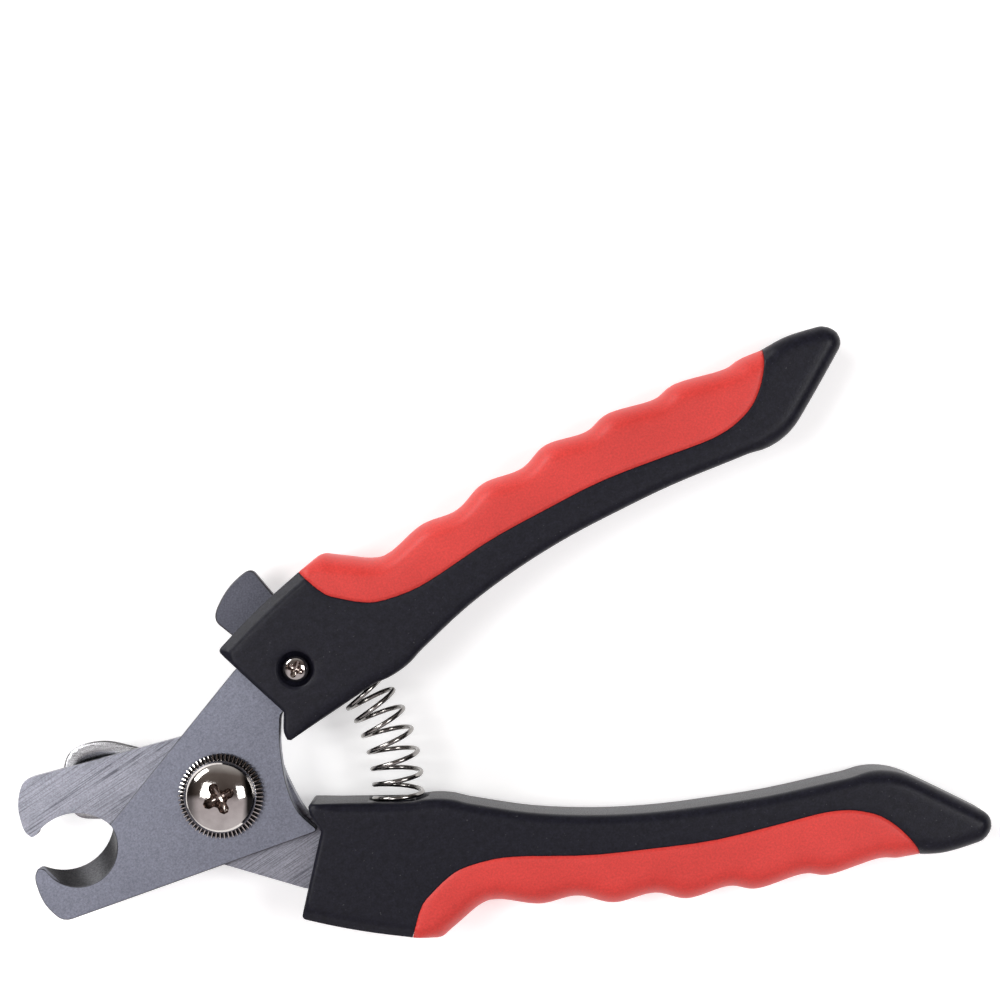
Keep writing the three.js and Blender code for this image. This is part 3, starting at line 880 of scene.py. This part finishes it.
def handle_spring():
    """The coil on an arc about the pivot."""
    orbit, coil, wire, turns, bunching = 28.7, 3.95, 0.4, 7.5, 0.12
    seat = math.radians(4)
    reach = HALF_OPENING + seat - (wire + 0.3) / orbit
    steps, sides = int(turns * 48), 12

    def centre(t):
        share = t - bunching * math.sin(2 * math.pi * t) / (2 * math.pi)
        station = reach * (2 * share - 1)
        phase = 2 * math.pi * turns * t
        radius = orbit + coil * math.cos(phase)
        x, y = radius * math.cos(station), radius * math.sin(station)
        return Vector((x, y, MATE - coil * math.sin(phase))), station

    bm = bmesh.new()
    rings, stations = [], []
    for k in range(steps + 1):
        t = k / steps
        point, station = centre(t)
        ahead = (centre(min(1, t + 1e-4))[0] - centre(max(0, t - 1e-4))[0]).normalized()
        axis_point = Vector((orbit * math.cos(station), orbit * math.sin(station), MATE))
        out = point - axis_point
        out = (out - ahead * out.dot(ahead)).normalized()
        side = ahead.cross(out)
        taper = 0.55 if k in (0, steps) else 1.0
        rings.append([bm.verts.new(point + wire * taper * (math.cos(a) * out + math.sin(a) * side))
                      for a in (2 * math.pi * s / sides for s in range(sides))])
        stations.append(station)
    for a, b in zip(rings, rings[1:]):
        for s in range(sides):
            bm.faces.new((a[s], a[(s + 1) % sides], b[(s + 1) % sides], b[s]))
    bm.faces.new(rings[0])
    bm.faces.new(rings[-1])
    bmesh.ops.recalc_face_normals(bm, faces=bm.faces)
    bm.verts.index_update()
    spring = new_object("handle_spring_wound", bm)
    spring.data.transform(Matrix.Scale(MM, 4))
    spring.data.polygons.foreach_set("use_smooth", [True] * len(spring.data.polygons))
    spring.data.set_sharp_from_angle(angle=math.radians(50))
    spring.data.materials.append(SPRING_WIRE)
    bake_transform(spring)
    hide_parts("handle_spring")
    return spring


# ---- stage -----------------------------------------------------------------------------------

VIEW_ROLL = math.radians(17.4)  # the x axis stands this far up from the picture's right
PICTURE_WIDTH = 1000 / 6.14  # millimetres at the blades' front face


def camera():
    """Looks straight down on the clipper, with its pivot low and left in the picture."""
    right = Vector((math.cos(VIEW_ROLL), -math.sin(VIEW_ROLL), 0))
    up = Vector((math.sin(VIEW_ROLL), math.cos(VIEW_ROLL), 0))
    width = PICTURE_WIDTH * MM
    aim = right * 0.04536 + up * 0.04813 + Vector((0, 0, (MATE + BLADE_THICKNESS) * MM))
    distance = 0.42
    data = bpy.data.cameras.new("camera")
    data.sensor_width = 36
    data.lens = 36 * distance / width
    data.clip_start, data.clip_end = 0.01, 10
    made = bpy.data.objects.new("camera", data)
    bpy.context.scene.collection.objects.link(made)
    made.location = aim + Vector((0, 0, distance))
    made.rotation_euler = (0, 0, -VIEW_ROLL)
    bpy.context.scene.camera = made


def area_light(name, azimuth, elevation, distance, size, power):
    """A softbox aimed at the clipper; azimuth 0 is the picture's right, 90 its top."""
    a = math.radians(azimuth) - VIEW_ROLL
    e = math.radians(elevation)
    target = Vector((0.05, 0, 0.01))
    data = bpy.data.lights.new(name, "AREA")
    data.shape = "RECTANGLE"
    data.size, data.size_y = size
    data.energy = power
    made = bpy.data.objects.new(name, data)
    bpy.context.scene.collection.objects.link(made)
    back = Vector((math.cos(a) * math.cos(e), math.sin(a) * math.cos(e), math.sin(e)))
    made.location = target + back * distance
    made.rotation_euler = back.to_track_quat("Z", "Y").to_euler()


def floor():
    """A pale sheet that touches the bolt's end and the handles' tails."""
    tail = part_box("lower_handle_core")
    slope = tail[0].z / (tail[1].x * 0.97)
    bm = bmesh.new()
    bmesh.ops.create_grid(bm, x_segments=8, y_segments=8, size=1.6)
    for v in bm.verts:
        v.co.z = v.co.x * slope - 0.0001
    mesh = bpy.data.meshes.new("floor")
    bm.to_mesh(mesh)
    bm.free()
    made = bpy.data.objects.new("floor", mesh)
    bpy.context.scene.collection.objects.link(made)
    n = Nodes("pale_floor")
    n.set(Roughness=0.7, Specular_IOR_Level=0.2, Emission_Strength=0.38)
    n.shader.inputs["Emission Color"].default_value = (1, 1, 1, 1)
    n.link(n.ramp(n.noise(n.place, 3.0, 2.0), [(0.3, 0.86), (0.7, 0.9)]), n.shader.inputs["Base Color"])
    mesh.materials.append(n.material)


def sky_ramp(tree, direction, stops):
    """Colours that change along a level direction of the sky."""
    place = tree.nodes.new("ShaderNodeTexCoord").outputs["Generated"]
    along = tree.nodes.new("ShaderNodeVectorMath")
    along.operation = "DOT_PRODUCT"
    along.inputs[1].default_value = direction
    tree.links.new(place, along.inputs[0])
    share = tree.nodes.new("ShaderNodeMapRange")
    share.inputs["From Min"].default_value = -1
    tree.links.new(along.outputs["Value"], share.inputs["Value"])
    colours = tree.nodes.new("ShaderNodeValToRGB")
    set_stops(colours.color_ramp, stops)
    tree.links.new(share.outputs["Result"], colours.inputs["Fac"])
    return colours.outputs["Color"]


def surroundings():
    """A soft studio sky: light below the picture, dim and warm above it, with flags at the sides."""
    world = bpy.data.worlds.new("studio")
    bpy.context.scene.world = world
    world.use_nodes = True
    tree = world.node_tree
    background = tree.nodes["Background"]
    upward = sky_ramp(tree, (math.sin(VIEW_ROLL), math.cos(VIEW_ROLL), 0), [
        (0.0, (0.7, 0.66, 0.68)),
        (0.41, (0.62, 0.565, 0.585)),
        (0.49, (0.08, 0.062, 0.055)),
        (0.8, (0.16, 0.135, 0.125)),
        (1.0, (0.5, 0.48, 0.47)),
    ])
    flags = sky_ramp(tree, (math.cos(VIEW_ROLL), -math.sin(VIEW_ROLL), 0), [
        (0.0, 0.2), (0.06, 0.3), (0.2, 1.0), (0.8, 1.0), (0.9, 0.03), (1.0, 0.03),
    ])
    shaded = tree.nodes.new("ShaderNodeMix")
    shaded.data_type = "RGBA"
    shaded.blend_type = "MULTIPLY"
    shaded.inputs[0].default_value = 1
    tree.links.new(upward, shaded.inputs[6])
    tree.links.new(flags, shaded.inputs[7])
    tree.links.new(shaded.outputs[2], background.inputs["Color"])


camera()
floor()
surroundings()
area_light("key", 170, 64, 0.8, (0.27, 0.23), 2.1)
area_light("fill", 6, 60, 0.8, (0.27, 0.28), 2.4)
area_light("rim", 140, 22, 0.8, (0.4, 0.25), 3.6)

handle_piece("upper", "core", 6.9, 0.2, BLACK)
handle_piece("upper", "grip", 6.97, 0.22, RED)
handle_piece("lower", "core", 6.9, 0.2, BLACK)
handle_piece("lower", "grip", 6.97, 0.22, RED)
blade("upper", "front_blade", FRONT_STEEL)
blade("lower", "rear_blade", REAR_STEEL)
latch_lever()
nail_guard()
pivot_bolt()
knurled_washer()
lock_nut()
nut_insert()
latch_screw()
handle_spring()

bpy.context.scene.view_settings.view_transform = "Standard"
bpy.context.view_layer.update()
